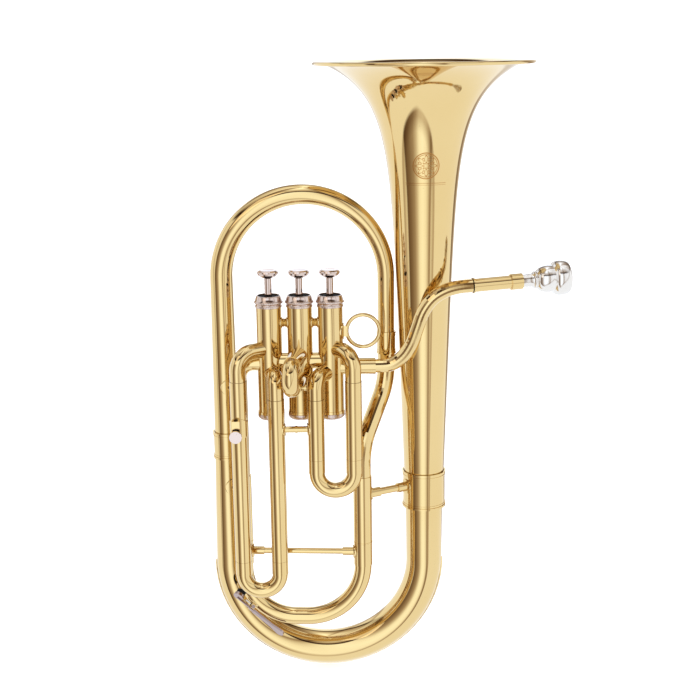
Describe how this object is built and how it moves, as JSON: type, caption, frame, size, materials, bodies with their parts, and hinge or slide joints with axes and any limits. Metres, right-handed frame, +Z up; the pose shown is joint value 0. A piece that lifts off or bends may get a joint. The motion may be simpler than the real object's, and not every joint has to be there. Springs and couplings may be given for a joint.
{
  "type": "baritone horn",
  "caption": "Compact upright baritone horn: flared bell, looped conical tubing, piston valves with slides, water key, finger ring and removable cup mouthpiece.",
  "frame": {"origin": "lowest point of the guard on the bottom bow, under the bow's centre", "axes": "+Z up along the bell, +X from the left branch towards the bell and mouthpiece, -Y towards the valve slides"},
  "size_m": [0.3524, 0.21, 0.6122],
  "materials": {
    "lacquered_brass": "clear-lacquered mirror polish",
    "nickel": "polished nickel plate",
    "silver_plate": "bright silver plate",
    "spring_steel": "drawn wire",
    "felt": "pressed wool felt",
    "cork": "dark composition cork"
  },
  "bodies": {
    "horn": {"bell": "lacquered_brass", "bell_stem": "lacquered_brass", "bell_ferrule": "lacquered_brass", "bottom_bow": "lacquered_brass", "bow_guard": "lacquered_brass", "branch_ferrule": "lacquered_brass", "top_bow": "lacquered_brass", "top_bow_ferrule": "lacquered_brass", "offset_tube": "lacquered_brass", "tuning_sleeve_left": "lacquered_brass", "tuning_sleeve_right": "lacquered_brass", "exit_tube": "lacquered_brass", "valve_casing_1": "lacquered_brass", "valve_casing_2": "lacquered_brass", "valve_casing_3": "lacquered_brass", "valve_knuckles": "lacquered_brass", "casing_braces": "lacquered_brass", "top_cap_1": "nickel", "top_cap_2": "nickel", "top_cap_3": "nickel", "bottom_cap_1": "nickel", "bottom_cap_2": "nickel", "bottom_cap_3": "nickel", "cap_felts": "felt", "leadpipe": "lacquered_brass", "mouthpiece_receiver": "lacquered_brass", "leadpipe_brace": "lacquered_brass", "third_sleeve_left": "lacquered_brass", "third_sleeve_right": "lacquered_brass", "first_sleeve_left": "lacquered_brass", "first_sleeve_right": "lacquered_brass", "second_sleeves": "lacquered_brass", "bell_brace": "lacquered_brass", "slide_brace": "lacquered_brass", "branch_braces": "lacquered_brass", "finger_ring": "lacquered_brass", "lyre_socket": "lacquered_brass", "valve_spring_1": "spring_steel", "valve_spring_2": "spring_steel", "valve_spring_3": "spring_steel"},
    "valve_1": {"piston_1": "nickel", "valve_stem_1": "nickel", "finger_button_1": "nickel"},
    "valve_2": {"piston_2": "nickel", "valve_stem_2": "nickel", "finger_button_2": "nickel"},
    "valve_3": {"piston_3": "nickel", "valve_stem_3": "nickel", "finger_button_3": "nickel"},
    "tuning_slide": {"tuning_slide": "lacquered_brass", "tuning_brace": "lacquered_brass", "water_key_pin": "nickel", "water_key_spring": "spring_steel"},
    "water_key": {"water_key_lever": "nickel", "water_key_cork": "cork"},
    "first_slide": {"first_slide": "lacquered_brass"},
    "second_slide": {"second_slide": "lacquered_brass"},
    "third_slide": {"third_slide": "lacquered_brass"},
    "mouthpiece": {"mouthpiece": "silver_plate"},
    "lyre_screw": {"lyre_screw": "nickel"}
  },
  "joints": [
    {"name": "valve_1_press", "type": "slide", "parent": "horn", "child": "valve_1", "axis": [0, 0, -1], "range_m": [0, 0.0165], "stiffness_N_per_m": 120, "springref_m": -0.025, "deforming": ["valve_spring_1"]},
    {"name": "valve_2_press", "type": "slide", "parent": "horn", "child": "valve_2", "axis": [0, 0, -1], "range_m": [0, 0.0165], "stiffness_N_per_m": 120, "springref_m": -0.025, "deforming": ["valve_spring_2"]},
    {"name": "valve_3_press", "type": "slide", "parent": "horn", "child": "valve_3", "axis": [0, 0, -1], "range_m": [0, 0.0165], "stiffness_N_per_m": 120, "springref_m": -0.025, "deforming": ["valve_spring_3"]},
    {"name": "tuning_slide_pull", "type": "slide", "parent": "horn", "child": "tuning_slide", "axis": [0, 0, -1], "range_m": [0, 0.044]},
    {"name": "water_key_press", "type": "hinge", "parent": "tuning_slide", "child": "water_key", "pos_m": [-0.0766, -0.0356, 0.0791], "axis": [0.4973, -0.6691, 0.5523], "range_deg": [0, 8], "stiffness_Nm_per_rad": 0.03, "springref_deg": -17.19},
    {"name": "first_slide_pull", "type": "slide", "parent": "horn", "child": "first_slide", "axis": [0, 0, -1], "range_m": [0, 0.025]},
    {"name": "second_slide_pull", "type": "slide", "parent": "horn", "child": "second_slide", "axis": [-0.1305, -0.9914, 0], "range_m": [0, 0.014]},
    {"name": "third_slide_pull", "type": "slide", "parent": "horn", "child": "third_slide", "axis": [0, 0, -1], "range_m": [0, 0.03]},
    {"name": "mouthpiece_pull", "type": "slide", "parent": "horn", "child": "mouthpiece", "axis": [0.9764, 0.2129, 0.0366], "range_m": [0, 0.06]},
    {"name": "lyre_screw_turn", "type": "hinge", "parent": "horn", "child": "lyre_screw", "pos_m": [-0.0833, -0.0651, 0.2684], "axis": [0, -1, 0], "range_deg": [0, 720]}
  ]
}
